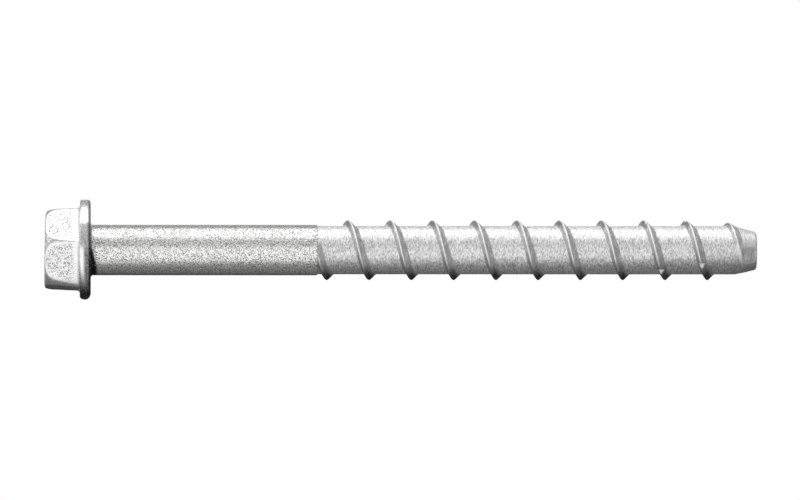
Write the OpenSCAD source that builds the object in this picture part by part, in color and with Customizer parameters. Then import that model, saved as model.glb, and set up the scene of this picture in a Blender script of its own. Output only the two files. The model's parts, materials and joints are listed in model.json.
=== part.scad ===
// Concrete screw, cold formed in one piece: a flanged hexagon head, a plain shank
// and a coarse right-hand thread with cutting notches near the point.
// It lies at rest on the rim of its flange and the crests of its thread.

/* [Head] */
// Width across the flats of the hexagon
hex_af = 17; // [15:0.1:19]
// Height of the hexagon above the flange
hex_h = 8.1; // [5:0.1:12]
// Radial depth by which each corner of the hexagon is blunted
corner_blunt = 0.25; // [0.1:0.05:0.8]
// Diameter of the flat on top of the head
face_d = 15.3; // [12:0.1:16.5]
// Slope of the chamfer round the top of the head, in degrees
chamfer_angle = 36; // [20:1:45]
// Turn of the hexagon about the screw's axis, in degrees
hex_turn = 18.7; // [0:0.1:60]

/* [Flange] */
// Diameter of the flange
flange_d = 22.7; // [20.5:0.1:28]
// Thickness of the flange
flange_t = 2.5; // [1.8:0.1:5]
// Radius of the flange's edge on the hexagon's side
flange_top_round = 0.35; // [0.1:0.05:0.6]
// Radius of the flange's edge on the bearing side
flange_seat_round = 0.7; // [0.1:0.05:0.9]

/* [Shank] */
// Length from the bearing face to the end of the point
screw_len = 150; // [110:1:250]
// Diameter of the plain shank
shank_d = 11.4; // [11.2:0.1:13]
// Length of the plain shank
shank_len = 51; // [10:1:90]
// Radius of the fillet between the flange and the shank
seat_fillet = 0.4; // [0.1:0.1:1]

/* [Thread] */
// Diameter at the root of the thread
root_d = 10.9; // [9.6:0.1:11]
// Diameter at the crest of the thread
crest_d = 13.5; // [12.5:0.1:15]
// Pitch of the thread
pitch = 9.53; // [7:0.01:13]
// Width of the crest
crest_w = 0.3; // [0.2:0.05:0.6]
// Width of the flank that faces the head
head_flank_w = 0.85; // [0.5:0.05:1.5]
// Width of the flank that faces the point
point_flank_w = 1.3; // [0.5:0.05:2]
// Distance from the plain shank to the first crest on the underside
first_crest = 2; // [1.5:0.1:4]
// Distance from the end of the thread to the end of the point
thread_end_gap = 3.2; // [2.8:0.1:8]
// Turn over which the thread rises to its full height, in degrees
run_in = 80; // [40:5:180]
// Turn over which the thread runs out, in degrees
run_out = 165; // [60:5:270]

/* [Cutting notches] */
// Number of notches in the crest
notch_count = 7; // [1:1:12]
// Turn from one notch to the next, in degrees
notch_step = 115; // [60:5:180]
// Turn from the last notch to the end of the thread, in degrees
notch_end_gap = 130; // [40:5:240]
// Part of the thread's height left standing in a notch
notch_floor = 0.1; // [0.05:0.05:0.6]

/* [Point] */
// Length of the tapered point
point_len = 4.9; // [4:0.1:8]
// Diameter at the end of the taper
point_d = 8.6; // [6:0.1:9.5]
// Radius of the point's end edge
point_round = 0.75; // [0.3:0.05:1]

/* [Hidden] */
$fn = 96;

// Steps round each turn of the thread, and steps round each rounded edge
turn_steps = 72;
edge_steps = 4;
step_deg = 360 / turn_steps;

// Radii and heights along the axis, from the bearing face at 0 to the point
flange_r = flange_d / 2;
shank_r = shank_d / 2;
root_r = root_d / 2;
ridge_h = (crest_d - root_d) / 2;
face_r = face_d / 2;
corner_r = hex_af / sqrt(3) - corner_blunt;
head_top = -(flange_t + hex_h);
chamfer_drop = (corner_r - face_r) * tan(chamfer_angle);
// Depth by which the head sinks into the flange, and the thread's core into the shank
overlap = 1;
core_z = shank_len - overlap;
taper_z = screw_len - point_len;
taper_end_z = screw_len - point_round;

// Turn of the thread, counted from the first crest on the underside
lead_deg = 120;
crest_z0 = shank_len + first_crest;
end_deg = (screw_len - thread_end_gap - crest_z0) / pitch * 360;
rows = round((end_deg + lead_deg) / step_deg);
last_row_deg = rows * step_deg - lead_deg;
notch_rows = [
    for (k = [0 : notch_count - 1])
        rows - round((notch_end_gap + k * notch_step) / step_deg)
];

// Feet and crest corners of the thread's section, along the axis from the middle of the crest
section_z = [
    -crest_w / 2 - head_flank_w,
    -crest_w / 2,
    crest_w / 2,
    crest_w / 2 + point_flank_w
];
// Least distance of each from the plain shank, and from the end of the taper
shank_gap = [0.02, 0.35, 0.45, 0.6];
taper_gap = [0.6, 0.5, 0.4, 0.3];
taper_step = 0.15;

// Pose at rest: the last full crest on the underside and the flange's rim touch the ground
last_crest_turn = floor((last_row_deg - run_out) / 360);
last_crest_z = crest_z0 + pitch * last_crest_turn + crest_w / 2;
rim_z = -flange_seat_round;
rest_tilt = atan((flange_r - crest_d / 2) / (last_crest_z - rim_z));
rest_z = flange_r * cos(rest_tilt) + rim_z * sin(rest_tilt);
end_r = point_d / 2 - point_round;
far_x = screw_len * cos(rest_tilt) + end_r * sin(rest_tilt);
near_x = head_top * cos(rest_tilt) - face_r * sin(rest_tilt);
rest_x = -(far_x + near_x) / 2;

// Points of a rounded edge, as [radius, height] pairs
function arc(centre, r, from, to) = [
    for (k = [0 : edge_steps])
        let (a = from + (to - from) * k / edge_steps)
            centre + r * [cos(a), sin(a)]
];

// Share of the thread's full height at a turn: it rises at the shank and runs out at the point
function ease(t) = let (u = max(0, min(1, t))) u * u * (3 - 2 * u);
function ridge_share(deg) =
    ease((deg + lead_deg) / run_in) * ease((last_row_deg - deg) / run_out);

// Height of the thread's section at a distance along the axis from the middle of its crest
function section_share(dz) =
    dz < section_z[1] ? max(0, (dz - section_z[0]) / head_flank_w)
    : dz > section_z[2] ? max(0, (section_z[3] - dz) / point_flank_w)
    : 1;

// Radius of the core, straight at first and then tapered to the point
function core_r(z) =
    z <= taper_z ? root_r
    : root_r + (point_d / 2 - root_r) * (z - taper_z) / (taper_end_z - taper_z);

function turn_point(deg, r, z) = [r * cos(deg), r * sin(deg), z];

function row_deg(i) = i * step_deg - lead_deg;
function crest_z(i) = crest_z0 + pitch * row_deg(i) / 360;
function is_notch(i) = len([for (n = notch_rows) if (n == i) n]) > 0;

// One corner j of the thread's section on row i, kept off the shank and the end of the taper
function section_height(i, j) =
    min(max(crest_z(i) + section_z[j], shank_len + shank_gap[j]), taper_end_z - taper_gap[j]);
function section_point(i, j) =
    let (z = section_height(i, j))
    let (share = ridge_share(row_deg(i)) * section_share(z - crest_z(i)))
    let (cut = is_notch(i) ? notch_floor : 1)
        turn_point(row_deg(i), core_r(z) + ridge_h * share * cut, z);

// A ring round the point that clears the thread's last foot on each row
function collar_point(m) =
    let (i = rows - (rows - m) % turn_steps)
    let (z = max(taper_z, section_height(i, 3) + taper_step))
        turn_point(row_deg(m), core_r(z), z);

// Two triangles for a four-sided patch, and a fan for a patch with points along one edge
function patch(a, b, c, d) = [[a, b, c], [a, c, d]];
function fan(apex, edge) = [for (k = [0 : len(edge) - 2]) [apex, edge[k], edge[k + 1]]];

// Threaded length with its point, as one closed skin that winds along the thread
module threaded_end() {
    corners = len(section_z);
    foot = corners - 1;
    wrap = turn_steps;
    point_edge = arc([end_r, taper_end_z], point_round, 0, 90);
    points = concat(
        [for (i = [0 : rows], j = [0 : foot]) section_point(i, j)],
        [for (m = [0 : wrap - 1]) turn_point(row_deg(m), root_r, core_z)],
        [for (m = [0 : wrap - 1]) collar_point(m)],
        [for (e = point_edge, m = [0 : wrap - 1]) turn_point(row_deg(m), e[0], e[1])]
    );
    start_ring = (rows + 1) * corners;
    collar_ring = start_ring + wrap;
    edge_ring = collar_ring + wrap;
    end_ring = edge_ring + edge_steps * wrap;
    seam = rows - wrap;

    ridge = [
        for (i = [0 : rows - 1], j = [0 : foot - 1])
            let (a = i * corners + j)
                each patch(a, a + 1, a + corners + 1, a + corners)
    ];
    root = [
        for (i = [0 : seam - 1])
            let (a = i * corners + foot)
            let (b = (i + wrap) * corners)
                each patch(a, b, b + corners, a + corners)
    ];
    start = [
        for (m = [0 : wrap - 2])
            each patch(start_ring + m, m * corners, (m + 1) * corners, start_ring + m + 1)
    ];
    start_seam = fan(start_ring + wrap - 1, [
        (wrap - 1) * corners,
        wrap * corners,
        for (j = [foot : -1 : 0]) j,
        start_ring
    ]);
    collar = [
        for (i = [seam + 1 : rows - 1])
            let (a = i * corners + foot)
                each patch(a, collar_ring + i % wrap, collar_ring + (i + 1) % wrap, a + corners)
    ];
    collar_seam = fan(collar_ring + (seam + 1) % wrap, [
        (seam + 1) * corners + foot,
        seam * corners + foot,
        for (j = [0 : foot]) rows * corners + j,
        collar_ring + seam % wrap
    ]);
    point = [
        for (k = [0 : edge_steps], m = [0 : wrap - 1])
            let (a = collar_ring + k * wrap)
            let (n = (m + 1) % wrap)
                each patch(a + m, a + wrap + m, a + wrap + n, a + n)
    ];
    caps = [
        [for (m = [0 : wrap - 1]) start_ring + m],
        [for (m = [wrap - 1 : -1 : 0]) end_ring + m]
    ];
    polyhedron(
        points,
        concat(ridge, root, start, start_seam, collar, collar_seam, point, caps),
        convexity = 20
    );
}

// Hexagon with blunted corners and a chamfered top
module hexagon_head() {
    intersection() {
        translate([0, 0, head_top])
            rotate(hex_turn)
                cylinder(d = hex_af * 2 / sqrt(3), h = hex_h + overlap, $fn = 6);
        rotate_extrude()
            polygon([
                [0, head_top],
                [face_r, head_top],
                [corner_r, head_top + chamfer_drop],
                [corner_r, overlap - flange_t],
                [0, overlap - flange_t]
            ]);
    }
}

// Flange and plain shank, turned from one outline
module flange_and_shank() {
    top = [flange_r - flange_top_round, flange_top_round - flange_t];
    seat = [flange_r - flange_seat_round, -flange_seat_round];
    fillet = [shank_r + seat_fillet, seat_fillet];
    rotate_extrude()
        polygon(concat(
            [[0, -flange_t]],
            arc(top, flange_top_round, -90, 0),
            arc(seat, flange_seat_round, 0, 90),
            arc(fillet, seat_fillet, 270, 180),
            [[shank_r, shank_len], [0, shank_len]]
        ));
}

module concrete_screw() {
    color("#b9bab8")
        translate([rest_x, 0, rest_z])
            rotate([0, 90 + rest_tilt, 0]) {
                hexagon_head();
                flange_and_shank();
                threaded_end();
            }
}

concrete_screw();
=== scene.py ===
"""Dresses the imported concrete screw: forged head, plain shank, rolled thread and blunt point."""

import json
import logging
import math
from collections.abc import Callable
from dataclasses import dataclass, field
from enum import Enum
from functools import cached_property

import bmesh
import bpy
from bmesh.types import BMEdge, BMesh, BMVert
from bpy.types import Material, Mesh, Node, NodeTree, Object, World
from mathutils import Matrix, Vector


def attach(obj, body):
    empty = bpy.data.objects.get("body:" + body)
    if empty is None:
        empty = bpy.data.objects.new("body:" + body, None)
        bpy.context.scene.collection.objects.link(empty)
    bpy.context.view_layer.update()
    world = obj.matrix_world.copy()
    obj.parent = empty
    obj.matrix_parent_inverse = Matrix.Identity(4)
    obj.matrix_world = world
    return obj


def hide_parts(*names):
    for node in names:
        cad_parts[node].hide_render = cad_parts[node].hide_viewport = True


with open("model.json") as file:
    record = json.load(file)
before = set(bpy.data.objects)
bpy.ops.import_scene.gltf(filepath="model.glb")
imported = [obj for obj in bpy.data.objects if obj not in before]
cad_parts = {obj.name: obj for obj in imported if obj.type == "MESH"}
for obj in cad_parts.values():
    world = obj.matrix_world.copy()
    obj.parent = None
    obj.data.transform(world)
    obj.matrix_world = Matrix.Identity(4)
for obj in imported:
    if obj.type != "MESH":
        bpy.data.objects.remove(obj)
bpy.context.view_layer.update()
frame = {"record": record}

LOG = logging.getLogger("concrete_screw")

MM = 0.001
FULL_TURN = 360.0
TURN_STEPS = 180
FLATS = 6
MERGE_DISTANCE = 1e-4
SHARP_ANGLE = math.radians(38.0)

NODE = "concrete_screw"
BODY = "root"
SEAT_MOUNT = "bearing_face"

Pair = tuple[float, float]
Colour = tuple[float, float, float]
Outline = list[Pair]
Socket = bpy.types.NodeSocket
Source = Socket | float | tuple

UNIT: Pair = (0.0, 1.0)


class Mark(Enum):
    """Marks on the skin, each a value on the mesh's vertices; most are painted light or shade."""

    # Painted highlight: white on the thread's crests, notch ramps and tip.
    PAINTED_HIGHLIGHT = "bead"
    # Painted shade: a darker, rougher tone on flanks, edges, rim and point.
    DULL_SHADE = "scuff"
    # Painted shade: near-black under the flange, on undersides and in corners.
    PAINTED_SHADE = "grime"
    # Grain cleared and tone brightened: wear on the head, painted highlight on the thread's upper side.
    POLISH_AND_SHEEN = "polish"


class Zone(Enum):
    """Zones of the screw's skin, in the order of their material slots."""

    HEAD = 0
    SHANK = 1
    THREAD = 2


def clamp(t: float) -> float:
    """Value held between 0 and 1."""
    return max(0.0, min(1.0, t))


def ease(t: float) -> float:
    """Smooth step from 0 to 1."""
    u = clamp(t)
    return u * u * (3.0 - 2.0 * u)


def rise(value: float, span: Pair) -> float:
    """Smooth step from 0 at the span's first value to 1 at its second."""
    return ease((value - span[0]) / (span[1] - span[0]))


def mix(a: float, b: float, t: float) -> float:
    """Straight mix of two values."""
    return a + (b - a) * t


def soft_min(a: float, b: float, width: float) -> float:
    """The lesser of two values, rounded where they differ by less than a width."""
    near = max(width - abs(a - b), 0.0) / width
    return min(a, b) - near * near * width / 4.0


def soft_max(a: float, b: float, width: float) -> float:
    """The greater of two values, rounded where they differ by less than a width."""
    return -soft_min(-a, -b, width)


def spaced(start: float, stop: float, count: int) -> list[float]:
    """Evenly spaced values after start, up to and including stop."""
    return [mix(start, stop, (k + 1) / count) for k in range(count)]


def rounded_edge(centre: Pair, radius: float, start: float, stop: float, steps: int) -> Outline:
    """Points of an arc in the outline's plane.

    Args:
        centre: Middle of the arc, as radius and height.
        radius: Radius of the arc.
        start: First angle in degrees, from the radial direction.
        stop: Last angle in degrees.
        steps: Number of steps along the arc.

    Returns:
        The arc's points, both ends included.
    """
    angles = [math.radians(a) for a in [start] + spaced(start, stop, steps)]
    return [(centre[0] + radius * math.cos(a), centre[1] + radius * math.sin(a)) for a in angles]


def polar(co: Vector) -> Pair:
    """Distance from the screw's axis and angle round it in degrees."""
    return math.hypot(co.x, co.y), math.degrees(math.atan2(co.y, co.x))


def set_radius(vert: BMVert, radius: float) -> None:
    """Moves a vertex straight out from the screw's axis.

    Args:
        vert: Vertex to move.
        radius: Its new distance from the axis.
    """
    old = math.hypot(vert.co.x, vert.co.y)
    vert.co.x *= radius / old
    vert.co.y *= radius / old


def spin(bm: BMesh, outline: Outline, climb: float = 0.0, merge: bool = False) -> None:
    """Spins an open chain of edges one full turn round the screw's axis.

    Args:
        bm: Mesh to spin in.
        outline: Radius and height of each point of the chain.
        climb: Height gained at each step.
        merge: Whether the last step is joined to the first.
    """
    verts = [bm.verts.new((radius, 0.0, height)) for radius, height in outline]
    edges = [bm.edges.new(pair) for pair in zip(verts, verts[1:])]
    bmesh.ops.spin(
        bm,
        geom=verts + edges,
        cent=(0.0, 0.0, 0.0),
        axis=(0.0, 0.0, 1.0),
        dvec=(0.0, 0.0, climb),
        angle=math.radians(FULL_TURN),
        steps=TURN_STEPS,
        use_merge=merge,
    )


def store_mesh(bm: BMesh, name: str) -> Mesh:
    """Stores a bmesh as a mesh and frees it.

    Args:
        bm: Mesh to store.
        name: Name of the new mesh.

    Returns:
        The new mesh.
    """
    mesh = bpy.data.meshes.new(name)
    bm.to_mesh(mesh)
    bm.free()
    return mesh


def add_object(name: str, data: bpy.types.ID) -> Object:
    """Adds an object to the scene.

    Args:
        name: Name of the object.
        data: Mesh, light or camera that it shows.

    Returns:
        The new object.
    """
    added = bpy.data.objects.new(name, data)
    bpy.context.scene.collection.objects.link(added)
    return added


@dataclass
class Head:
    """Flanged hexagon head: a round blank with flats pressed into it. Millimetres and degrees.

    The upright screw's bearing face lies at height 0, and its underside faces +X.
    """

    across_flats: float = 17.07
    height: float = 8.1
    corner_power: float = 110.0
    corner_turn: float = 18.0
    corner_twist: float = 3.0
    draft: float = 0.39
    lean: float = 0.1
    lean_middle: float = -0.25
    skewed_flat: int = 5
    skew: float = 5.0
    face_radius: float = 7.8
    face_dome: float = 0.25
    face_tilt: float = 0.014
    face_rows: int = 6
    edge_round: Pair = (0.6, 0.4)
    edge_radius_start: float = 8.4
    edge_reach: float = 0.88
    edge_slope: float = 0.12
    edge_height: float = 2.9
    edge_power: float = 3.0
    edge_softness: float = 0.12
    edge_rows: int = 18
    side_rows: int = 8
    blank_radius: float = 10.4
    foot_fillet: float = 0.7
    foot_rows: int = 7
    ledge_rows: int = 2
    flange_radius: float = 11.34
    flange_thickness: float = 2.5
    rim_head_round: float = 0.4
    rim_head_steps: int = 5
    rim_seat_round: float = 0.8
    rim_seat_steps: int = 8
    rim_rows: int = 8
    rim_flat: float = 0.15
    rim_wear: float = 0.5
    rim_middle: float = -1.35
    # Painted shade on the rim's underside and seat half.
    rim_lower_shade: Pair = (0.3, 0.95)
    rim_shade: float = 0.76
    rim_shade_below: Pair = (-0.28, 0.1)
    rim_shade_span: Pair = (-1.95, -1.15)
    rim_seat_shade: float = 0.65
    rim_seat_span: Pair = (-0.95, -0.35)
    # Darker, rougher tone painted as shade on the rim and the blunted edges.
    rim_dull_shade: float = 1.5
    rim_dull_shade_start: Pair = (-0.03, 0.19)
    rim_dull_shade_stop: Pair = (0.56, 0.5)
    edge_dull_shade: float = 1.2
    edge_dull_shade_span: Pair = (-0.04, 0.06)
    # Painted shade on the shank under the flange and at the hexagon's foot.
    seat_shade: float = 3.0
    seat_shade_reach: Pair = (0.5, 1.75)
    seat_shade_below: Pair = (-0.5, 0.9)
    seat_shade_fade: float = 0.8
    foot_shade: float = 0.2
    foot_shade_span: Pair = (-3.0, -2.3)
    polish_margin: Pair = (-4.5, -3.5)
    polish_corner: Pair = (0.5, 0.0)
    polish_edges: float = 0.85
    rim_polish: float = 0.9

    @property
    def top(self) -> float:
        """Height of the middle of the head's end face."""
        return -(self.flange_thickness + self.height)

    @property
    def edge(self) -> float:
        """Height at which the domed end face meets its rounded edge."""
        return self.top + self.face_dome

    @property
    def foot(self) -> float:
        """Height at which the hexagon begins to flare into the flange."""
        return -self.flange_thickness - self.foot_fillet

    def rim(self) -> Outline:
        """Outline of the flange's rim, from the ledge to the bearing face.

        Returns:
            Radius and height of each point.
        """
        ledge = self.rim_head_round - self.flange_thickness
        head_centre = (self.flange_radius - self.rim_head_round, ledge)
        head_edge = rounded_edge(head_centre, self.rim_head_round, -90.0, 0.0, self.rim_head_steps)
        seat_centre = (self.flange_radius - self.rim_seat_round, -self.rim_seat_round)
        seat_edge = rounded_edge(seat_centre, self.rim_seat_round, 0.0, 90.0, self.rim_seat_steps)
        land = [(self.flange_radius, z) for z in spaced(ledge, -self.rim_seat_round, self.rim_rows)]
        return head_edge + land[:-1] + seat_edge

    def outline(self) -> Outline:
        """Outline of the blank, from the middle of the end face to the bearing face.

        Returns:
            Radius and height of each point.
        """
        radii = [0.0] + spaced(0.0, self.face_radius, self.face_rows)
        face = [(r, self.top + self.face_dome * (r / self.face_radius) ** 2) for r in radii]
        heights = [self.edge + self.edge_height * t**2 for t in spaced(*UNIT, self.edge_rows)]
        heights += spaced(self.edge + self.edge_height, self.foot, self.side_rows)
        heights += spaced(self.foot, -self.flange_thickness, self.foot_rows)
        side = [(self.blank_radius, z) for z in heights]
        rim = self.rim()
        ledge = [(r, -self.flange_thickness) for r in spaced(self.blank_radius, rim[0][0], self.ledge_rows)]
        return face + side + ledge[:-1] + rim

    def flats_radius(self, angle: float, height: float) -> float:
        """Radius of the hexagon, slightly drafted, twisted and leaning, with one flat pressed askew.

        Args:
            angle: Angle round the axis in degrees.
            height: Height along the axis.

        Returns:
            Distance from the axis to the hexagon's side.
        """
        past_middle = (height - self.top) / self.height - 0.5
        step = FULL_TURN / FLATS
        turn = self.corner_turn + self.corner_twist * past_middle + step / 2.0
        total = 0.0
        for k in range(FLATS):
            facing = math.radians(turn + step * k + (self.skew if k == self.skewed_flat else 0.0))
            lean = self.lean * (past_middle - self.lean_middle) * math.cos(facing)
            reach = self.across_flats / 2.0 + self.draft * past_middle + lean
            total += (max(math.cos(math.radians(angle) - facing), 0.0) / reach) ** self.corner_power
        return 1.0 / total ** (1.0 / self.corner_power)

    def edge_radius(self, height: float) -> float:
        """Radius of the turned edge round the end face: a tight round, then corners blunted less and less.

        Args:
            height: Height along the axis.

        Returns:
            Distance from the axis to the turned edge.
        """
        past = max(height - self.edge, 0.0)
        depth, length = self.edge_round
        tight = depth * max(1.0 - past / length, 0.0) ** 2
        left = max(1.0 - past / self.edge_height, 0.0)
        blunt = self.edge_reach * (1.0 - left**self.edge_power) + self.edge_slope * past
        return self.edge_radius_start + blunt - tight

    def side_radius(self, angle: float, height: float) -> float:
        """Radius of the finished head, with the rounded end edge and the fillet at the flange.

        Args:
            angle: Angle round the axis in degrees.
            height: Height along the axis.

        Returns:
            Distance from the axis to the head's skin.
        """
        radius = soft_min(self.flats_radius(angle, height), self.edge_radius(height), self.edge_softness)
        past = min(max(height - self.foot, 0.0), self.foot_fillet)
        return radius + self.foot_fillet - math.sqrt(self.foot_fillet**2 - past**2)

    def press(self, bm: BMesh) -> None:
        """Presses the hexagon into the spun blank, tilts its end face and wears the underside of the rim.

        Args:
            bm: Mesh that holds the blank.
        """
        ledge_end = self.rim()[0][0]
        half = self.flange_thickness / 2.0
        for vert in bm.verts:
            radius, angle = polar(vert.co)
            if radius >= self.blank_radius - MERGE_DISTANCE:
                if vert.co.z > MERGE_DISTANCE - self.flange_thickness:
                    wear = self.rim_flat + self.rim_wear * ((vert.co.z - self.rim_middle) / half) ** 2
                    set_radius(vert, radius - wear * max(vert.co.x / radius, 0.0))
                    continue
                pressed = self.side_radius(angle, vert.co.z)
                share = (radius - self.blank_radius) / (ledge_end - self.blank_radius)
                set_radius(vert, mix(pressed, ledge_end, share))
            vert.co.z -= self.face_tilt * vert.co.x * rise(vert.co.z, (self.foot, self.edge))

    def grime(self, co: Vector) -> float:
        """Share of painted shade, a near-black colour, on the shank under the flange, on the seat half and
        the underside of its rim, and at the hexagon's foot.

        Args:
            co: Point on the skin of the upright screw.

        Returns:
            0 where nothing is painted, up to 1 in the corner on the underside.
        """
        radius, _ = polar(co)
        if co.z < self.foot_shade_span[0] or radius < MERGE_DISTANCE:
            return 0.0
        below = co.x / radius
        if co.z > 0.0:
            side = rise(below, self.seat_shade_below)
            reach = mix(*self.seat_shade_reach, side)
            return min(1.0, self.seat_shade * side) * rise(co.z, (reach, reach - self.seat_shade_fade))
        if co.z < self.foot_shade_span[1] and radius < self.flange_radius - self.rim_head_round:
            return self.foot_shade
        side = rise(below, self.rim_shade_below)
        middle = self.rim_shade * side * rise(co.z, self.rim_shade_span)
        seat = mix(self.rim_seat_shade, 1.0, side) * rise(co.z, self.rim_seat_span)
        return max(rise(below, self.rim_lower_shade), middle, seat)

    def scuff(self, co: Vector) -> float:
        """Share of a darker, rougher tone painted as shade on the hexagon's blunted edges and on the rim,
        above its middle.

        Args:
            co: Point on the skin of the upright screw.

        Returns:
            0 on clean zinc.
        """
        radius, angle = polar(co)
        if co.z > 0.0 or radius < self.face_radius:
            return 0.0
        if co.z < self.foot:
            blunted = self.flats_radius(angle, co.z) - self.edge_radius(co.z)
            return self.edge_dull_shade * rise(blunted, self.edge_dull_shade_span)
        if radius < self.flange_radius - self.rim_seat_round:
            return 0.0
        above = -co.x / radius
        return self.rim_dull_shade * rise(above, self.rim_dull_shade_start) * rise(above, self.rim_dull_shade_stop)

    def polish(self, co: Vector) -> float:
        """Share of the grain rubbed away along the hexagon's edges, near the flange and on its rim.

        Args:
            co: Point on the skin of the upright screw.

        Returns:
            0 where the grain is whole, up to 1 where there is none.
        """
        radius, angle = polar(co)
        if co.z > 0.0 or radius < MERGE_DISTANCE:
            return 0.0
        if co.z > self.foot:
            return self.rim_polish
        corner = rise(self.edge_radius(co.z) - self.flats_radius(angle, co.z), self.polish_corner)
        return self.polish_edges * max(rise(co.z, self.polish_margin), corner)


@dataclass
class Shank:
    """Plain shank under the head. Millimetres."""

    radius: float = 5.7
    length: float = 51.0
    fillet: float = 0.55
    fillet_steps: int = 6
    shoulder_round: float = 0.12
    shoulder_steps: int = 3
    rows: int = 70
    seat_rows: int = 12
    seat_length: float = 2.2

    def outline(self) -> Outline:
        """Outline from the bearing face to the shoulder where the thread begins.

        Returns:
            Radius and height of each point.
        """
        centre = (self.radius + self.fillet, self.fillet)
        bend = rounded_edge(centre, self.fillet, 270.0, 180.0, self.fillet_steps)
        edge = (self.radius - self.shoulder_round, self.length - self.shoulder_round)
        heights = spaced(self.fillet, self.seat_length, self.seat_rows)
        heights += spaced(self.seat_length, edge[1], self.rows)
        barrel = [(self.radius, z) for z in heights]
        return bend + barrel[:-1] + rounded_edge(edge, self.shoulder_round, 0.0, 90.0, self.shoulder_steps)


@dataclass
class Point:
    """Tapered point with a rounded end edge and one flat where it was cropped. Millimetres and degrees."""

    end: float = 150.0
    length: float = 4.9
    radius: float = 4.38
    edge_round: float = 0.75
    edge_steps: int = 6
    flat_facing: float = -76.0
    flat_depth: float = 0.42
    flat_start: float = 146.6
    flat_step: float = 0.25
    sag: float = 0.14
    sag_span: Pair = (144.8, 148.0)
    # Painted shade as a darker, rougher tone on the tip and the flat; the tip also gets a painted highlight.
    tip_dull_shade: float = 0.85
    tip_highlight: float = 0.4
    tip_span: Pair = (146.0, 147.0)
    flat_dull_shade: float = 0.9

    @property
    def taper_start(self) -> float:
        """Height at which the core begins to taper."""
        return self.end - self.length

    @property
    def taper_end(self) -> float:
        """Height at which the taper meets the rounded end edge."""
        return self.end - self.edge_round

    def cropped(self, radius: float, angle: float, height: float, core: float) -> float:
        """Radius with the flat taken off.

        Args:
            radius: Radius before the flat is cut.
            angle: Angle round the axis in degrees.
            height: Height along the axis.
            core: Radius of the core at that height.

        Returns:
            The lesser of the radius and the flat's distance in that direction.
        """
        facing = math.cos(math.radians(angle - self.flat_facing))
        depth = self.flat_depth * ease((height - self.flat_start) / self.flat_step)
        if facing <= 0.0 or depth <= 0.0:
            return radius
        return min(radius, (core - depth) / facing)

    def offset(self, height: float) -> float:
        """Distance by which the point's middle sits below the screw's axis."""
        return self.sag * rise(height, self.sag_span)

    def on_flat(self, co: Vector, core: float) -> bool:
        """Whether a point of the skin lies on the flat.

        Args:
            co: Point on the skin of the upright screw.
            core: Radius of the core at its height.

        Returns:
            True on the flat.
        """
        radius, angle = polar(Vector((co.x - self.offset(co.z), co.y, co.z)))
        facing = radius * math.cos(math.radians(angle - self.flat_facing))
        return co.z > self.flat_start + self.flat_step and facing > core - self.flat_depth - MERGE_DISTANCE

    def edge_rings(self) -> Outline:
        """Radius and height of each ring round the end edge, after the end of the taper."""
        centre = (self.radius - self.edge_round, self.taper_end)
        return rounded_edge(centre, self.edge_round, 0.0, 90.0, self.edge_steps)[1:]


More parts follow.
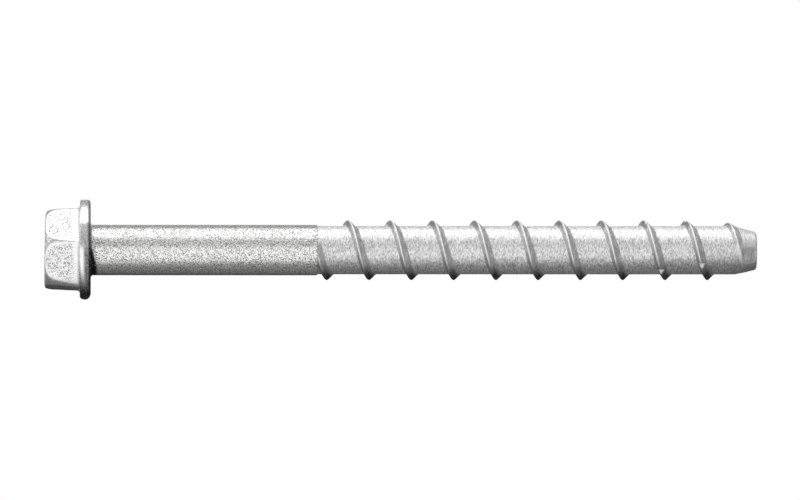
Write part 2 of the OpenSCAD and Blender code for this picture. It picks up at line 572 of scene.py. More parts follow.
@dataclass
class Thread:
    """Coarse right-hand thread, rolled from the core, with cutting notches. Millimetres and degrees.

    Turns are counted in degrees from the first crest on the underside.
    """

    root_radius: float = 5.45
    height: float = 1.3
    pitch: float = 9.53
    crest_width: float = 0.24
    head_flank: float = 0.74
    point_flank: float = 1.3
    head_edge_softness: float = 0.3
    point_edge_softness: float = 0.1
    foot_softness: float = 0.1
    flank_shares: tuple[float, ...] = (0.34, 0.5, 0.66)
    corner_spread: tuple[float, ...] = (-0.22, -0.09, 0.0, 0.09, 0.22)
    root_columns: int = 10
    first_crest: float = 53.1
    lead: float = -120.0
    last: float = 3575.0
    run_in: float = 60.0
    run_out: float = 255.0
    spare_turns: int = 1
    shoulder_gap: float = 0.2
    last_notch: float = 3410.0
    notch_step: float = 115.0
    notch_count: int = 7
    notch_floor: float = 0.42
    notch_wall: float = 6.0
    notch_ramp: float = 8.0
    notch_shine: float = -0.3
    # Painted highlight on the crest, the notches' ramps and the end of the ridge.
    highlight_span: Pair = (-0.13, 0.09)
    highlight_fade: float = 0.12
    highlight_below: Pair = (0.62, 0.25)
    highlight_onset: float = 8.0
    end_highlight_turn: Pair = (3490.0, 3505.0)
    end_highlight_span: Pair = (-0.7, 0.1)
    # Darker, rougher tone painted as shade on the ridge's flanks.
    head_flank_dull_shade: float = 1.4
    dull_shade_onset: float = 4.0
    # Painted shade on the ridge's underside and at the top of its flank towards the head.
    ridge_under_shade: float = 0.88
    ridge_under_shade_span: Pair = (0.45, 1.0)
    head_flank_shade: float = 0.55
    head_top_shade: float = 0.45
    head_top_span: Pair = (0.72, 0.95)
    # Painted highlight: grain cleared and tone brightened on the upper side.
    upper_sheen: float = 0.65
    upper_sheen_span: Pair = (0.4, 0.75)

    @property
    def foot(self) -> float:
        """Offset of the section's first point from the middle of the crest."""
        return self.corner_spread[0] - self.crest_width / 2.0 - self.head_flank

    @cached_property
    def notch_bottoms(self) -> list[float]:
        """Turn of each notch's bottom, which lies on a wound row.

        Returns:
            Turns in degrees, from the last notch back.
        """
        row = FULL_TURN / TURN_STEPS
        turns = [self.last_notch - k * self.notch_step for k in range(self.notch_count)]
        return [row * round(turn / row) for turn in turns]

    def section_height(self, offset: float) -> float:
        """Height of the ridge above the root.

        Args:
            offset: Distance along the axis from the middle of the crest.

        Returns:
            Height in millimetres.
        """
        half = self.crest_width / 2.0
        climb = self.height * (offset + half + self.head_flank) / self.head_flank
        fall = self.height * (half + self.point_flank - offset) / self.point_flank
        crest = soft_min(climb, self.height, self.head_edge_softness)
        ridge = soft_min(crest, fall, self.point_edge_softness)
        return soft_max(ridge, 0.0, self.foot_softness)

    def section(self) -> Outline:
        """One pitch of the thread's section, from before the ridge's head flank to the next turn.

        Returns:
            Height above the root and offset along the axis of each point.
        """
        half = self.crest_width / 2.0
        corners = [-half - self.head_flank, -half, half, half + self.point_flank]
        offsets = {round(corner + gap, 4) for corner in corners for gap in self.corner_spread}
        offsets |= {-half - self.head_flank / 2.0}
        offsets |= {half + self.point_flank * share for share in self.flank_shares}
        ridge = sorted(offsets)
        root = spaced(ridge[-1], ridge[0] + self.pitch, self.root_columns)
        return [(self.section_height(z), z) for z in ridge] + [(0.0, z) for z in root]

    def crest(self, turn: float) -> float:
        """Height along the axis of the crest's middle at a turn."""
        return self.first_crest + self.pitch * turn / FULL_TURN

    def share(self, turn: float) -> float:
        """Share of the full ridge at a turn: it rises at the shoulder and runs out at the point."""
        return ease((turn - self.lead) / self.run_in) * clamp((self.last - turn) / self.run_out)

    def turn_at(self, angle: float, height: float) -> float:
        """Turn of the ridge that an angle and height belong to, from just before its head flank."""
        whole = math.floor((height - self.foot - self.crest(angle)) / self.pitch + MERGE_DISTANCE)
        return angle + FULL_TURN * whole

    def bead(self, turn: float, co: Vector) -> float:
        """Share of the painted highlight, a white colour, on the crest, the notches' ramps and the end of the
        ridge, left off the underside except at the end.

        Args:
            turn: Turn in degrees.
            co: Point on the skin of the upright screw.

        Returns:
            1 on the crest, 0 on the flanks and where there is no ridge.
        """
        offset = co.z - self.crest(turn)
        if self.on_ramp(turn, offset) and offset > self.notch_shine:
            return 1.0
        end = rise(turn, self.end_highlight_turn)
        start, stop = (mix(a, b, end) for a, b in zip(self.highlight_span, self.end_highlight_span))
        inside = min(offset - start, stop - offset)
        shown = max(end, rise(co.x / polar(co)[0], self.highlight_below))
        return clamp(1.0 + inside / self.highlight_fade) * min(1.0, self.highlight_onset * self.share(turn)) * shown

    def scuff(self, turn: float, height: float) -> float:
        """Share of a darker, rougher tone painted as shade on the ridge's flanks.

        Args:
            turn: Turn in degrees.
            height: Height along the axis.

        Returns:
            Up to 1 on the flank towards the point, more on the other, 0 on the root.
        """
        offset = height - self.crest(turn)
        half = self.crest_width / 2.0
        if not -half - self.head_flank < offset < half + self.point_flank:
            return 0.0
        return (1.0 if offset > 0.0 else self.head_flank_dull_shade) * min(1.0, self.dull_shade_onset * self.share(turn))

    def grime(self, turn: float, co: Vector) -> float:
        """Share of painted shade on the ridge's underside, and on its flank towards the head at the very top.

        Args:
            turn: Turn in degrees.
            co: Point on the skin of the upright screw.

        Returns:
            0 on the root and on the front.
        """
        if self.on_ramp(turn, co.z - self.crest(turn)):
            return 0.0
        radius, _ = polar(co)
        standing = ease((radius - self.root_radius) / (self.height / 2.0))
        below = self.ridge_under_shade * rise(co.x / radius, self.ridge_under_shade_span)
        if co.z >= self.crest(turn) - self.crest_width / 2.0:
            return below * standing
        above = self.head_top_shade * rise(-co.x / radius, self.head_top_span)
        return max(above, below * self.head_flank_shade) * standing

    def polish(self, co: Vector) -> float:
        """Share of the grain cleared on the upper side, which brightens it as a painted highlight."""
        return self.upper_sheen * rise(-co.x / polar(co)[0], self.upper_sheen_span)

    def past_notch(self, turn: float) -> float:
        """Turn past the bottom of the nearest notch, negative before it."""
        return min((turn - bottom for bottom in self.notch_bottoms), key=abs)

    def on_ramp(self, turn: float, offset: float) -> bool:
        """Whether a point lies on the facet that a notch's ramp cuts in the ridge.

        Args:
            turn: Turn in degrees.
            offset: Distance along the axis from the middle of the crest.

        Returns:
            True on the facet alone.
        """
        if not -MERGE_DISTANCE < self.past_notch(turn) < self.notch_ramp + MERGE_DISTANCE:
            return False
        return self.section_height(offset) > self.height * self.notch_share(turn) - MERGE_DISTANCE

    def notch_share(self, turn: float) -> float:
        """Share of the ridge's height that a notch leaves, between its wall and its longer ramp.

        Args:
            turn: Turn in degrees.

        Returns:
            1 away from the notches.
        """
        past = self.past_notch(turn)
        away = past / self.notch_ramp if past > 0.0 else -past / self.notch_wall
        return mix(self.notch_floor, 1.0, min(1.0, away))

    def roll(self, bm: BMesh, start: float, end: float, core: Callable[[float], float]) -> None:
        """Winds the section along the screw, shapes the ridge and trims both ends square.

        Args:
            bm: Mesh to wind in.
            start: Height of the shoulder where the thread begins.
            end: Height at which the threaded skin ends.
            core: Radius of the core at a height.
        """
        turns = math.ceil((end - start) / self.pitch) + 2 * self.spare_turns
        before = math.floor((start - self.foot - self.first_crest) / self.pitch) - self.spare_turns
        lowest = self.first_crest + before * self.pitch
        outline = [(self.root_radius + h, lowest + z) for h, z in self.section()]
        spin(bm, outline, climb=self.pitch / TURN_STEPS)
        one_turn = bm.verts[:] + bm.edges[:] + bm.faces[:]
        for k in range(1, turns):
            copied = bmesh.ops.duplicate(bm, geom=one_turn)["geom"]
            moved = [part for part in copied if isinstance(part, BMVert)]
            bmesh.ops.translate(bm, verts=moved, vec=(0.0, 0.0, k * self.pitch))
        bmesh.ops.remove_doubles(bm, verts=bm.verts, dist=MERGE_DISTANCE)
        self.shape_ridge(bm, start, core)
        for height, cut in ((start, {"clear_inner": True}), (end, {"clear_outer": True})):
            bmesh.ops.bisect_plane(
                bm,
                geom=bm.verts[:] + bm.edges[:] + bm.faces[:],
                dist=MERGE_DISTANCE,
                plane_co=(0.0, 0.0, height),
                plane_no=(0.0, 0.0, 1.0),
                **cut,
            )

    def shape_ridge(self, bm: BMesh, start: float, core: Callable[[float], float]) -> None:
        """Fades the ridge in and out, cuts the notches and tapers the core.

        Args:
            bm: Mesh that holds only the wound section.
            start: Height of the shoulder where the thread begins.
            core: Radius of the core at a height.
        """
        for vert in bm.verts:
            radius, angle = polar(vert.co)
            turn = self.turn_at(angle, vert.co.z)
            ridge = min(radius - self.root_radius, self.height * self.notch_share(turn))
            ridge *= self.share(turn) * ease((vert.co.z - start) / self.shoulder_gap)
            set_radius(vert, core(vert.co.z) + ridge)


@dataclass
class Pose:
    """Place of the screw in the frame: the middle of its bearing face and the lean of its axis."""

    seat: Vector
    tilt: float

    @classmethod
    def from_record(cls, record: dict) -> "Pose":
        """Reads the pose from the record's mount on the bearing face.

        Args:
            record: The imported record.

        Returns:
            The pose, in metres and radians.
        """
        mount = next(mount for mount in record["mounts"] if mount["name"] == SEAT_MOUNT)
        x, _, z = mount["pos_m"]
        axis = mount["axis"]
        return cls(Vector((x, 0.0, z)), math.atan2(-axis[2], axis[0]))

    def matrix(self) -> Matrix:
        """Turns and moves the upright screw in millimetres to its place in the frame in metres."""
        lean = Matrix.Rotation(math.radians(90.0) + self.tilt, 4, "Y")
        return Matrix.Translation(self.seat) @ lean @ Matrix.Scale(MM, 4)


@dataclass
class ConcreteScrew:
    """The whole screw, one skin of steel from the head to the point."""

    head: Head = field(default_factory=Head)
    shank: Shank = field(default_factory=Shank)
    thread: Thread = field(default_factory=Thread)
    point: Point = field(default_factory=Point)

    def core_radius(self, height: float) -> float:
        """Radius of the threaded core at a height, tapered at the point."""
        past = (height - self.point.taper_start) / (self.point.taper_end - self.point.taper_start)
        return mix(self.thread.root_radius, self.point.radius, clamp(past))

    def spin_blank(self) -> Mesh:
        """Spins the head, flange and shank as one blank and presses the hexagon.

        Returns:
            Mesh of the blank, open at the shoulder.
        """
        bm = bmesh.new()
        spin(bm, self.head.outline() + self.shank.outline(), merge=True)
        bmesh.ops.remove_doubles(bm, verts=bm.verts, dist=MERGE_DISTANCE)
        self.head.press(bm)
        return store_mesh(bm, "blank")

    def roll_thread(self) -> Mesh:
        """Rolls the thread and closes the point.

        Returns:
            Mesh of the threaded end, open at the shoulder.
        """
        bm = bmesh.new()
        self.thread.roll(bm, self.shank.length, self.point.taper_end, self.core_radius)
        for vert in bm.verts:
            self.crop(vert)
        rim = [e for e in bm.edges if e.is_boundary and e.verts[0].co.z > self.point.taper_start]
        for radius, height in self.point.edge_rings():
            made = bmesh.ops.extrude_edge_only(bm, edges=rim)["geom"]
            rim = [part for part in made if isinstance(part, BMEdge) and part.is_boundary]
            for vert in {v for edge in rim for v in edge.verts}:
                set_radius(vert, radius)
                vert.co.z = height
                self.crop(vert)
        bmesh.ops.contextual_create(bm, geom=rim)
        for vert in bm.verts:
            vert.co.x += self.point.offset(vert.co.z)
        return store_mesh(bm, "threaded_end")

    def crop(self, vert: BMVert) -> None:
        """Moves a vertex in to the point's flat."""
        radius, angle = polar(vert.co)
        set_radius(vert, self.point.cropped(radius, angle, vert.co.z, self.core_radius(vert.co.z)))

    def build(self, pose: Matrix) -> Object:
        """Joins the blank and the threaded end into one closed skin, in its place in the frame.

        Args:
            pose: Matrix from the upright screw in millimetres to the frame.

        Returns:
            The finished object, linked to the scene.
        """
        bm = bmesh.new()
        for mesh in (self.spin_blank(), self.roll_thread()):
            bm.from_mesh(mesh)
            bpy.data.meshes.remove(mesh)
        bmesh.ops.bridge_loops(bm, edges=[edge for edge in bm.edges if edge.is_boundary])
        bmesh.ops.recalc_face_normals(bm, faces=bm.faces)
        self.mark(bm)
        for face in bm.faces:
            face.smooth = True
            face.material_index = self.zone(face.calc_center_median().z).value
        LOG.info("open edges: %d, faces: %d", sum(not e.is_manifold for e in bm.edges), len(bm.faces))
        bmesh.ops.transform(bm, matrix=pose, verts=bm.verts)
        mesh = store_mesh(bm, "galvanised_screw")
        mesh.set_sharp_from_angle(angle=SHARP_ANGLE)
        return add_object("galvanised_screw", mesh)

    def mark(self, bm: BMesh) -> None:
        """Writes the marks on the vertices of the upright screw.

        Args:
            bm: Mesh of the whole screw.
        """
        layers = {mark: bm.verts.layers.float.new(mark.value) for mark in Mark}
        for vert in bm.verts:
            height = vert.co.z
            if height <= self.shank.length:
                vert[layers[Mark.PAINTED_SHADE]] = self.head.grime(vert.co)
                vert[layers[Mark.DULL_SHADE]] = self.head.scuff(vert.co)
                vert[layers[Mark.POLISH_AND_SHEEN]] = self.head.polish(vert.co)
                continue
            turn = self.thread.turn_at(polar(vert.co)[1], height)
            vert[layers[Mark.PAINTED_SHADE]] = self.thread.grime(turn, vert.co)
            vert[layers[Mark.POLISH_AND_SHEEN]] = self.thread.polish(vert.co)
            if self.point.on_flat(vert.co, self.core_radius(height)):
                vert[layers[Mark.DULL_SHADE]] = self.point.flat_dull_shade
                continue
            tip = rise(height, self.point.tip_span)
            vert[layers[Mark.PAINTED_HIGHLIGHT]] = max(self.point.tip_highlight * tip, self.thread.bead(turn, vert.co))
            vert[layers[Mark.DULL_SHADE]] = max(self.point.tip_dull_shade * tip, self.thread.scuff(turn, height))

    def zone(self, height: float) -> Zone:
        """Finds the zone of the skin at a height.

        Args:
            height: Height along the axis.

        Returns:
            The zone.
        """
        if height < 0.0:
            return Zone.HEAD
        return Zone.SHANK if height < self.shank.length else Zone.THREAD

    def dress(self, piece: Object, finishes: dict[Zone, Material]) -> None:
        """Gives the skin its finishes and its place in the frame.

        Args:
            piece: Object made by build.
            finishes: Material of each zone.
        """
        for zone in Zone:
            piece.data.materials.append(finishes[zone])
        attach(piece, BODY)
        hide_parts(NODE)


class MixKind(Enum):
    """Kinds of the Mix node, each with the numbers of its two inputs and its output."""

    FLOAT = (2, 3, 0)
    RGBA = (6, 7, 2)


def add_node(tree: NodeTree, kind: str, feeds: dict | None = None, **settings: object) -> Node:
    """Adds a shader node.

    Args:
        tree: Node tree to add to.
        kind: Node type without its ShaderNode prefix.
        feeds: What its inputs get, by name or number: a socket to link, or a constant.
        settings: Properties of the node.

    Returns:
        The new node.
    """
    node = tree.nodes.new("ShaderNode" + kind)
    for name, value in settings.items():
        setattr(node, name, value)
    for key, source in (feeds or {}).items():
        if isinstance(source, Socket):
            tree.links.new(source, node.inputs[key])
        else:
            node.inputs[key].default_value = source
    return node


def remap(tree: NodeTree, value: Socket, span: Pair, to: tuple = UNIT, soft: bool = False) -> Socket:
    """Adds a node that maps a value from one span to another.

    Args:
        tree: Node tree to add to.
        value: Socket with the value.
        span: Values that are mapped to the ends of the new span.
        to: Ends of the new span, each a socket or a constant.
        soft: Whether the ends are eased.

    Returns:
        Socket with the new value, held within the new span.
    """
    feeds = {"Value": value, "From Min": span[0], "From Max": span[1], "To Min": to[0], "To Max": to[1]}
    node = add_node(tree, "MapRange", feeds, interpolation_type="SMOOTHSTEP" if soft else "LINEAR")
    return node.outputs["Result"]


def reckon(tree: NodeTree, operation: str, *values: Source, clamped: bool = False) -> Socket:
    """Adds a Math node for an operation on values, and returns the socket with its result."""
    node = add_node(tree, "Math", dict(enumerate(values)), operation=operation, use_clamp=clamped)
    return node.outputs["Value"]


def blend(tree: NodeTree, kind: MixKind, share: Socket, first: Source, second: Source) -> Socket:
    """Adds a node that mixes two values or colours.

    Args:
        tree: Node tree to add to.
        kind: What is mixed.
        share: Socket with the share of the second.
        first: Socket or constant where the share is 0.
        second: Socket or constant where the share is 1.

    Returns:
        Socket with the mix.
    """
    a, b, result = kind.value
    return add_node(tree, "Mix", {0: share, a: first, b: second}, data_type=kind.name).outputs[result]


def new_group(name: str, inputs: tuple[str, ...], outputs: tuple[str, ...]) -> NodeTree:
    """Adds a node group with named sockets, of which Color is a colour and the others are values.

    Args:
        name: Name of the group.
        inputs: Names of its inputs.
        outputs: Names of its outputs.

    Returns:
        The group.
    """
    tree = bpy.data.node_groups.new(name, "ShaderNodeTree")
    for side, sockets in (("INPUT", inputs), ("OUTPUT", outputs)):
        for socket in sockets:
            kind = "NodeSocketColor" if socket == "Color" else "NodeSocketFloat"
            tree.interface.new_socket(socket, in_out=side, socket_type=kind)
    return tree


def feed_inputs(tree: NodeTree, node: Node, sockets: dict[str, Socket]) -> None:
    """Links sockets to the inputs of a node by name."""
    for name, socket in sockets.items():
        tree.links.new(socket, node.inputs[name])


@dataclass
class ZincGrain:
    """Node group with the grain of the zinc skin, laid along the screw's own axis."""

    origin: Vector
    tilt: float
    gloss_scale: float = 0.83
    mottle_scale: float = 0.5
    worm_scale: float = 0.55
    worm_middle: float = 0.5
    worm_span: Pair = (0.02, 0.08)
    break_scale: float = 0.4
    break_span: Pair = (0.34, 0.52)
    noise_roughness: float = 0.55

    def build(self) -> NodeTree:
        """Builds the group once.

        Returns:
            Group with the inputs Frequency and Stretch and the outputs Grain, Worms, Gloss, Mottle, Height.
        """
        outputs = ("Grain", "Worms", "Gloss", "Mottle", "Height")
        tree = new_group("zinc_grain", ("Frequency", "Stretch"), outputs)
        given = tree.nodes.new("NodeGroupInput").outputs
        coords = add_node(tree, "TexCoord").outputs["Object"]
        place = {"Vector": coords, "Location": self.origin, "Rotation": (0.0, self.tilt, 0.0)}
        along = add_node(tree, "Mapping", place, vector_type="TEXTURE").outputs["Vector"]
        stretch = add_node(tree, "CombineXYZ", {"X": given["Stretch"], "Y": 1.0, "Z": 1.0}).outputs["Vector"]
        lay = add_node(tree, "VectorMath", {0: along, 1: stretch}, operation="MULTIPLY").outputs["Vector"]

        def noise(factor: float, detail: float) -> Socket:
            """Adds a noise in the group's own scale.

            Args:
                factor: Multiple of the frequency.
                detail: Octaves beyond the first.

            Returns:
                Socket with the noise.
            """
            scale = reckon(tree, "MULTIPLY", given["Frequency"], factor)
            feeds = {"Vector": lay, "Scale": scale, "Detail": detail, "Roughness": self.noise_roughness}
            return add_node(tree, "TexNoise", feeds).outputs["Fac"]

        grain = noise(1.0, 1.0)
        crooked = reckon(tree, "SUBTRACT", noise(self.worm_scale, 0.0), self.worm_middle)
        furrow = remap(tree, reckon(tree, "ABSOLUTE", crooked), self.worm_span, (1.0, 0.0), soft=True)
        gaps = remap(tree, noise(self.break_scale, 1.0), self.break_span, soft=True)
        worms = reckon(tree, "MULTIPLY", furrow, gaps)
        gloss = noise(self.gloss_scale, 0.0)
        mottle = noise(self.mottle_scale, 1.0)
        height = reckon(tree, "SUBTRACT", grain, worms)
        result = tree.nodes.new("NodeGroupOutput")
        feed_inputs(tree, result, dict(zip(outputs, (grain, worms, gloss, mottle, height))))
        return tree


@dataclass(frozen=True)
class MarkFinish:
    """Colour and roughness of one kind of mark, its cover on the zinc and how far the mottle breaks it up."""

    mark: Mark
    colour: Colour
    roughness: float
    cover: float
    uneven: float


# Painted shade as a darker, rougher grey and as near-black, and painted highlight as white.
MARK_FINISHES = (
    MarkFinish(Mark.DULL_SHADE, (0.55, 0.55, 0.55), 0.55, 0.75, 0.7),
    MarkFinish(Mark.PAINTED_HIGHLIGHT, (1.0, 1.0, 1.0), 0.65, 0.95, 0.1),
    MarkFinish(Mark.PAINTED_SHADE, (0.015, 0.015, 0.015), 0.6, 1.0, 0.15),
)
MOTTLE_SPAN: Pair = (0.3, 0.7)


def build_marks_group() -> NodeTree:
    """Builds the group that lays the marks over a finish.

    Returns:
        Group with the inputs Color, Roughness and Mottle, which breaks the marks up, and the outputs Color
        and Roughness.
    """
    tree = new_group("skin_marks", ("Color", "Roughness", "Mottle"), ("Color", "Roughness"))
    given = tree.nodes.new("NodeGroupInput").outputs
    colour, roughness = given["Color"], given["Roughness"]
    for finish in MARK_FINISHES:
        value = add_node(tree, "Attribute", attribute_name=finish.mark.value).outputs["Fac"]
        weight = reckon(tree, "MULTIPLY", value, finish.cover)
        uneven = remap(tree, given["Mottle"], MOTTLE_SPAN, (1.0 - finish.uneven, 1.0 + finish.uneven))
        cover = reckon(tree, "MULTIPLY", weight, uneven, clamped=True)
        colour = blend(tree, MixKind.RGBA, cover, colour, (*finish.colour, 1.0))
        roughness = blend(tree, MixKind.FLOAT, cover, roughness, finish.roughness)
    feed_inputs(tree, tree.nodes.new("NodeGroupOutput"), {"Color": colour, "Roughness": roughness})
    return tree


@dataclass(frozen=True)
class ZincFinish:
    """Galvanised finish of one zone: satin metal with a fine grain and crooked furrows."""

    name: str
    dull: Colour
    furrow: Colour
    furrow_weight: float
    roughness: Pair
    grain_mm: float
    stretch: float
    bright: Colour = (1.0, 1.0, 1.0)
    bump_mm: float = 0.055
    tone_span: Pair = (0.31, 0.5)
    gloss_span: Pair = (0.45, 0.65)

    def material(self, grain: NodeTree, marks: NodeTree) -> Material:
        """Builds the material.

        Args:
            grain: The zinc_grain group.
            marks: The skin_marks group.

        Returns:
            The new material.
        """
        material = bpy.data.materials.new(self.name)
        material.use_nodes = True
        tree = material.node_tree
        sizes = {"Frequency": 1.0 / (self.grain_mm * MM), "Stretch": self.stretch}
        skin = add_node(tree, "Group", sizes, node_tree=grain).outputs
        # Cleared grain brightens the tone: wear on the head, painted highlight on the thread's upper side.
        polish = add_node(tree, "Attribute", attribute_name=Mark.POLISH_AND_SHEEN.value).outputs["Fac"]
        clear = reckon(tree, "ADD", remap(tree, skin["Grain"], self.tone_span), polish, clamped=True)
        metal = blend(tree, MixKind.RGBA, clear, (*self.dull, 1.0), (*self.bright, 1.0))
        left = remap(tree, polish, UNIT, (self.furrow_weight, 0.0))
        furrows = reckon(tree, "MULTIPLY", skin["Worms"], left)
        zinc = {
            "Color": blend(tree, MixKind.RGBA, furrows, metal, (*self.furrow, 1.0)),
            "Roughness": remap(tree, skin["Gloss"], self.gloss_span, self.roughness),
            "Mottle": skin["Mottle"],
        }
        marked = add_node(tree, "Group", zinc, node_tree=marks).outputs
        relief = {"Height": skin["Height"], "Strength": 1.0, "Distance": self.bump_mm * MM}
        normal = add_node(tree, "Bump", relief).outputs["Normal"]
        steel = tree.nodes["Principled BSDF"]
        steel.inputs["Metallic"].default_value = 1.0
        skins = {"Base Color": marked["Color"], "Roughness": marked["Roughness"], "Normal": normal}
        feed_inputs(tree, steel, skins)
        return material


FINISHES: dict[Zone, ZincFinish] = {
    Zone.HEAD: ZincFinish(
        name="zinc_forged_head",
        dull=(0.5, 0.5, 0.5),
        furrow=(0.05, 0.05, 0.05),
        furrow_weight=0.8,
        roughness=(0.18, 0.3),
        grain_mm=0.27,
        stretch=1.25,
        bump_mm=0.02,
    ),
    Zone.SHANK: ZincFinish(
        name="zinc_plain_shank",
        dull=(0.29, 0.285, 0.262),
        furrow=(0.12, 0.115, 0.1),
        furrow_weight=0.5,
        roughness=(0.08, 0.28),
        grain_mm=0.3,
        stretch=1.2,
        bright=(1.0, 1.0, 0.99),
    ),
    Zone.THREAD: ZincFinish(
        name="zinc_rolled_thread",
        dull=(0.58, 0.58, 0.58),
        furrow=(0.5, 0.5, 0.5),
        furrow_weight=0.25,
        roughness=(0.42, 0.66),
        grain_mm=0.66,
        stretch=2.8,
        tone_span=(0.35, 0.58),
    ),
}


@dataclass(frozen=True)
class Softbox:
    """Rectangular softbox that faces a point near the screw. Metres."""

    name: str
    place: tuple[float, float, float]
    target: tuple[float, float, float]
    length: float
    width: float
    radiance: float

    def hang(self) -> Object:
        """Hangs the softbox.

        Returns:
            The light's object.
        """
        lamp = bpy.data.lights.new(self.name, "AREA")
        lamp.shape = "RECTANGLE"
        lamp.size = self.length
        lamp.size_y = self.width
        lamp.energy = self.radiance * math.pi * self.length * self.width
        box = add_object(self.name, lamp)
        box.location = self.place
        aim = Vector(self.target) - Vector(self.place)
        box.rotation_euler = aim.to_track_quat("-Z", "Y").to_euler()
        return box


SOFTBOXES = (
    Softbox("overhead_box", (-0.12, -0.055, 0.5), (-0.12, -0.055, 0.0), 1.4, 0.55, 0.99),
    Softbox("side_box", (-0.75, -0.26, 0.3), (-0.05, -0.02, 0.01), 0.52, 1.04, 0.7),
)


@dataclass(frozen=True)
class FloorFinish:
    """White paint that keeps the screw's shadow. Metres.

    The metal mirrors it as white, with a painted shadow close to the screw and painted dimming past its
    point, which only reflections show.
    """

    colour: Colour = (1.0, 1.0, 1.0)
    shade_colour: Colour = (0.22, 0.22, 0.22)
    deep_colour: Colour = (0.03, 0.03, 0.03)
    deep_span: Pair = (0.008, 0.025)
    shade_half_length: float = 0.085
    shade_middle: float = 0.02
    shade_span: Pair = (0.0245, 0.036)
    dim_span: Pair = (0.055, 0.095)
    dim_end: float = 0.6

    def material(self) -> Material:
        """Builds the material.

        Returns:
            The new material.
        """
        material = bpy.data.materials.new("pale_floor")
        material.use_nodes = True
        tree = material.node_tree
        paint = tree.nodes["Principled BSDF"]
        paint.inputs["Base Color"].default_value = (*self.colour, 1.0)
        paint.inputs["Roughness"].default_value = 1.0
        paint.inputs["Specular IOR Level"].default_value = 0.0
        place = add_node(tree, "TexCoord").outputs["Object"]
        along = add_node(tree, "SeparateXYZ", {"Vector": place}).outputs["X"]
        half = self.shade_half_length
        nearest = add_node(tree, "Clamp", {"Value": along, "Min": -half, "Max": half}).outputs["Result"]
        foot = add_node(tree, "CombineXYZ", {"X": nearest, "Y": self.shade_middle}).outputs["Vector"]
        reach = add_node(tree, "VectorMath", {0: place, 1: foot}, operation="DISTANCE").outputs["Value"]
        # Painted shadow of the screw in the floor's reflection, darkest nearest it.
        depth = remap(tree, reach, self.deep_span)
        shade = blend(tree, MixKind.RGBA, depth, (*self.deep_colour, 1.0), (*self.shade_colour, 1.0))
        clear = remap(tree, reach, self.shade_span, soft=True)
        # Painted dimming of the reflection past the point.
        image = {
            "Color": blend(tree, MixKind.RGBA, clear, shade, (*self.colour, 1.0)),
            "Strength": remap(tree, along, self.dim_span, (1.0, self.dim_end), soft=True),
        }
        mirrored = add_node(tree, "Emission", image).outputs["Emission"]
        glossy = add_node(tree, "LightPath").outputs["Is Glossy Ray"]
        seen = add_node(tree, "MixShader", {0: glossy, 1: paint.outputs["BSDF"], 2: mirrored})
        feed_inputs(tree, tree.nodes["Material Output"], {"Surface": seen.outputs["Shader"]})
        return material


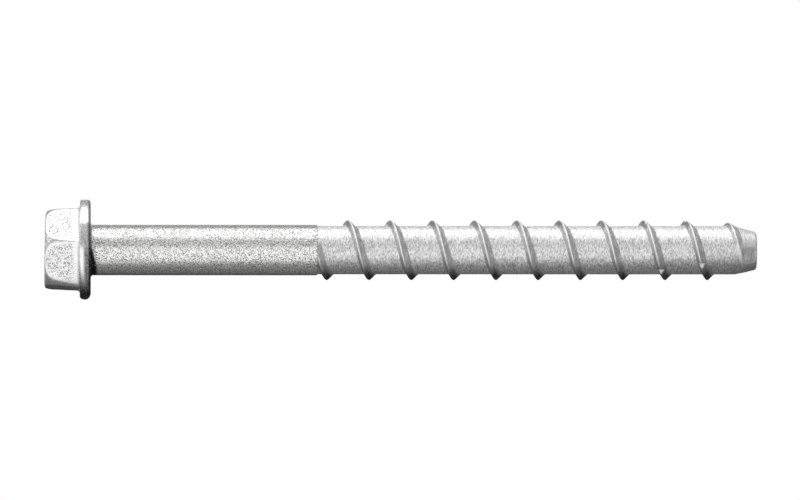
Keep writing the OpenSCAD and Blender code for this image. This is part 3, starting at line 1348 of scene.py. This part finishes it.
@dataclass
class Studio:
    """Pale floor, a soft room and the camera. Metres, and pixels of the photo's frame."""

    floor: FloorFinish = FloorFinish()
    floor_half: float = 2.0
    floor_gap: float = 0.00002
    room: float = 0.49
    dark_side: float = 0.22
    dark_side_span: Pair = (0.3, 0.85)
    back_room: float = 0.36
    back_span: Pair = (0.2, 0.6)
    backdrop: float = 1.0
    backdrop_rise: Pair = (0.3, 0.18)
    backdrop_side: Pair = (0.4, 0.7)
    camera_distance: float = 2.7
    camera_aside: float = 0.07
    image_width: int = 800
    pixels_per_mm: float = 4.44
    axis_pixel: float = 250.12
    axis_slope: float = 0.0004
    bearing_pixel: float = 90.8
    middle_pixel: Pair = (400.0, 250.0)

    def lay_floor(self) -> Object:
        """Lays the pale floor under the screw.

        Returns:
            The floor's object.
        """
        bm = bmesh.new()
        bmesh.ops.create_grid(bm, x_segments=1, y_segments=1, size=self.floor_half)
        bmesh.ops.translate(bm, verts=bm.verts, vec=(0.0, 0.0, -self.floor_gap))
        floor = add_object("floor", store_mesh(bm, "floor"))
        floor.data.materials.append(self.floor.material())
        return floor

    def paint_room(self) -> World:
        """Paints the room grey, darker to the right and behind, with low white walls behind and in front.

        Returns:
            The scene's world.
        """
        world = bpy.data.worlds.new("room")
        world.use_nodes = True
        tree = world.node_tree
        coords = add_node(tree, "TexCoord").outputs["Generated"]
        facing = add_node(tree, "SeparateXYZ", {"Vector": coords}).outputs
        behind = remap(tree, facing["Y"], self.back_span, (self.room, self.back_room), soft=True)
        sides = remap(tree, facing["X"], self.dark_side_span, (behind, self.dark_side), soft=True)
        masks = [
            remap(tree, reckon(tree, "ABSOLUTE", facing[axis]), span, soft=True)
            for axis, span in (("Z", self.backdrop_rise), ("Y", self.backdrop_side))
        ]
        tone = remap(tree, reckon(tree, "MULTIPLY", *masks), UNIT, (sides, self.backdrop))
        feed_inputs(tree, tree.nodes["Background"], {"Color": tone})
        bpy.context.scene.world = world
        return world

    def place_camera(self, pose: Pose) -> Object:
        """Places the camera opposite the flange at the floor's level, rolled so that the screw looks level.

        Args:
            pose: Place of the screw in the frame.

        Returns:
            The camera's object.
        """
        along = (self.middle_pixel[0] - self.bearing_pixel) / self.pixels_per_mm
        below = (self.middle_pixel[1] - self.axis_pixel) / self.pixels_per_mm
        roll = pose.tilt - self.axis_slope
        right = Vector((math.cos(roll), 0.0, -math.sin(roll)))
        up = Vector((math.sin(roll), 0.0, math.cos(roll)))
        target = pose.matrix() @ Vector((0.0, 0.0, along)) - up * below * MM
        eye = target + right.cross(up) * self.camera_distance - right * self.camera_aside
        eye.z = -self.floor_gap
        back = (eye - target).normalized()
        right = up.cross(back).normalized()
        turn = Matrix((right, back.cross(right), back)).transposed().to_4x4()
        data = bpy.data.cameras.new("camera")
        data.lens = data.sensor_width * self.camera_distance * self.pixels_per_mm / (self.image_width * MM)
        camera = add_object("camera", data)
        camera.matrix_world = Matrix.Translation(eye) @ turn
        bpy.context.scene.camera = camera
        return camera


def main() -> None:
    """Builds the screw and the studio in order."""
    logging.basicConfig(level=logging.INFO, format="%(name)s: %(message)s")
    bpy.context.scene.view_settings.view_transform = "Standard"
    screw = ConcreteScrew()
    pose = Pose.from_record(frame["record"])
    piece = screw.build(pose.matrix())
    grain = ZincGrain(origin=pose.seat, tilt=pose.tilt).build()
    marks = build_marks_group()
    screw.dress(piece, {zone: finish.material(grain, marks) for zone, finish in FINISHES.items()})
    LOG.info("%s: %d faces", piece.name, len(piece.data.polygons))
    studio = Studio()
    stages = [studio.lay_floor(), studio.place_camera(pose)]
    for stage in stages + [box.hang() for box in SOFTBOXES]:
        LOG.info("%s placed", stage.name)
    studio.paint_room()


if __name__ == "__main__":
    main()
